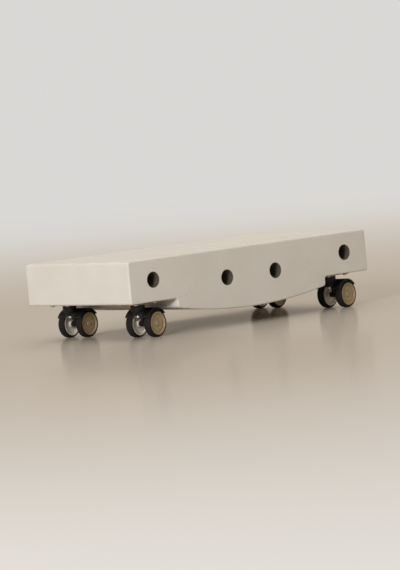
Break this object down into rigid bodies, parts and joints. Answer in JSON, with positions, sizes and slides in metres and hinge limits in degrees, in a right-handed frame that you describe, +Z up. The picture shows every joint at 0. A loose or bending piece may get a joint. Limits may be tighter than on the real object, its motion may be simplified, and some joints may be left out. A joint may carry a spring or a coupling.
{
  "type": "scooter board",
  "caption": "Low foam scooter board with a flat top, a curved belly and round tunnels across it, carried on twin-wheel swivel casters.",
  "frame": {"origin": "on the floor under the middle of the block", "axes": "+X along the length towards the rear end, +Y towards the right side, +Z up"},
  "size_m": [0.59, 0.295, 0.1445],
  "materials": {
    "foam": "matt off-white closed-cell foam with a fine skin",
    "plywood": "sanded birch plywood",
    "black_steel": "satin black coated sheet steel",
    "bright_steel": "zinc plated",
    "nylon": "natural nylon",
    "black_plastic": "finely grained black moulding",
    "tan_plastic": "satin tan moulding",
    "tread": "matt soft tread"
  },
  "bodies": {
    "board": {"block": "foam", "front_mounting_board": "plywood", "rear_mounting_board": "plywood", "front_left_top_plate": "black_steel", "front_left_swivel_pin": "bright_steel", "front_left_retaining_ring": "bright_steel", "front_left_thrust_washer": "nylon", "front_left_screw_1": "bright_steel", "front_left_screw_2": "bright_steel", "front_left_screw_3": "bright_steel", "front_left_screw_4": "bright_steel", "front_right_top_plate": "black_steel", "front_right_swivel_pin": "bright_steel", "front_right_retaining_ring": "bright_steel", "front_right_thrust_washer": "nylon", "front_right_screw_1": "bright_steel", "front_right_screw_2": "bright_steel", "front_right_screw_3": "bright_steel", "front_right_screw_4": "bright_steel", "rear_left_top_plate": "black_steel", "rear_left_swivel_pin": "bright_steel", "rear_left_retaining_ring": "bright_steel", "rear_left_thrust_washer": "nylon", "rear_left_screw_1": "bright_steel", "rear_left_screw_2": "bright_steel", "rear_left_screw_3": "bright_steel", "rear_left_screw_4": "bright_steel", "rear_right_top_plate": "black_steel", "rear_right_swivel_pin": "bright_steel", "rear_right_retaining_ring": "bright_steel", "rear_right_thrust_washer": "nylon", "rear_right_screw_1": "bright_steel", "rear_right_screw_2": "bright_steel", "rear_right_screw_3": "bright_steel", "rear_right_screw_4": "bright_steel"},
    "front_left_swivel": {"front_left_housing": "black_plastic", "front_left_axle": "bright_steel"},
    "front_left_left_wheel": {"front_left_left_hub": "tan_plastic", "front_left_left_tyre": "tread"},
    "front_left_right_wheel": {"front_left_right_hub": "tan_plastic", "front_left_right_tyre": "tread"},
    "front_right_swivel": {"front_right_housing": "black_plastic", "front_right_axle": "bright_steel"},
    "front_right_left_wheel": {"front_right_left_hub": "tan_plastic", "front_right_left_tyre": "tread"},
    "front_right_right_wheel": {"front_right_right_hub": "tan_plastic", "front_right_right_tyre": "tread"},
    "rear_left_swivel": {"rear_left_housing": "black_plastic", "rear_left_axle": "bright_steel"},
    "rear_left_left_wheel": {"rear_left_left_hub": "tan_plastic", "rear_left_left_tyre": "tread"},
    "rear_left_right_wheel": {"rear_left_right_hub": "tan_plastic", "rear_left_right_tyre": "tread"},
    "rear_right_swivel": {"rear_right_housing": "black_plastic", "rear_right_axle": "bright_steel"},
    "rear_right_left_wheel": {"rear_right_left_hub": "tan_plastic", "rear_right_left_tyre": "tread"},
    "rear_right_right_wheel": {"rear_right_right_hub": "tan_plastic", "rear_right_right_tyre": "tread"}
  },
  "joints": [
    {"name": "front_left_swivel_turn", "type": "hinge", "parent": "board", "child": "front_left_swivel", "pos_m": [-0.239, -0.0975, 0.0612], "axis": [0, 0, 1], "continuous": true},
    {"name": "front_left_left_wheel_spin", "type": "hinge", "parent": "front_left_swivel", "child": "front_left_left_wheel", "pos_m": [-0.2193, -0.09403, 0.025], "axis": [-0.1736, 0.9848, 0], "continuous": true},
    {"name": "front_left_right_wheel_spin", "type": "hinge", "parent": "front_left_swivel", "child": "front_left_right_wheel", "pos_m": [-0.2193, -0.09403, 0.025], "axis": [-0.1736, 0.9848, 0], "continuous": true},
    {"name": "front_right_swivel_turn", "type": "hinge", "parent": "board", "child": "front_right_swivel", "pos_m": [-0.239, 0.0975, 0.0612], "axis": [0, 0, 1], "continuous": true},
    {"name": "front_right_left_wheel_spin", "type": "hinge", "parent": "front_right_swivel", "child": "front_right_left_wheel", "pos_m": [-0.2193, 0.10097, 0.025], "axis": [-0.1736, 0.9848, 0], "continuous": true},
    {"name": "front_right_right_wheel_spin", "type": "hinge", "parent": "front_right_swivel", "child": "front_right_right_wheel", "pos_m": [-0.2193, 0.10097, 0.025], "axis": [-0.1736, 0.9848, 0], "continuous": true},
    {"name": "rear_left_swivel_turn", "type": "hinge", "parent": "board", "child": "rear_left_swivel", "pos_m": [0.239, -0.0975, 0.0612], "axis": [0, 0, 1], "continuous": true},
    {"name": "rear_left_left_wheel_spin", "type": "hinge", "parent": "rear_left_swivel", "child": "rear_left_left_wheel", "pos_m": [0.2587, -0.09403, 0.025], "axis": [-0.1736, 0.9848, 0], "continuous": true},
    {"name": "rear_left_right_wheel_spin", "type": "hinge", "parent": "rear_left_swivel", "child": "rear_left_right_wheel", "pos_m": [0.2587, -0.09403, 0.025], "axis": [-0.1736, 0.9848, 0], "continuous": true},
    {"name": "rear_right_swivel_turn", "type": "hinge", "parent": "board", "child": "rear_right_swivel", "pos_m": [0.239, 0.0975, 0.0612], "axis": [0, 0, 1], "continuous": true},
    {"name": "rear_right_left_wheel_spin", "type": "hinge", "parent": "rear_right_swivel", "child": "rear_right_left_wheel", "pos_m": [0.2587, 0.10097, 0.025], "axis": [-0.1736, 0.9848, 0], "continuous": true},
    {"name": "rear_right_right_wheel_spin", "type": "hinge", "parent": "rear_right_swivel", "child": "rear_right_right_wheel", "pos_m": [0.2587, 0.10097, 0.025], "axis": [-0.1736, 0.9848, 0], "continuous": true}
  ]
}
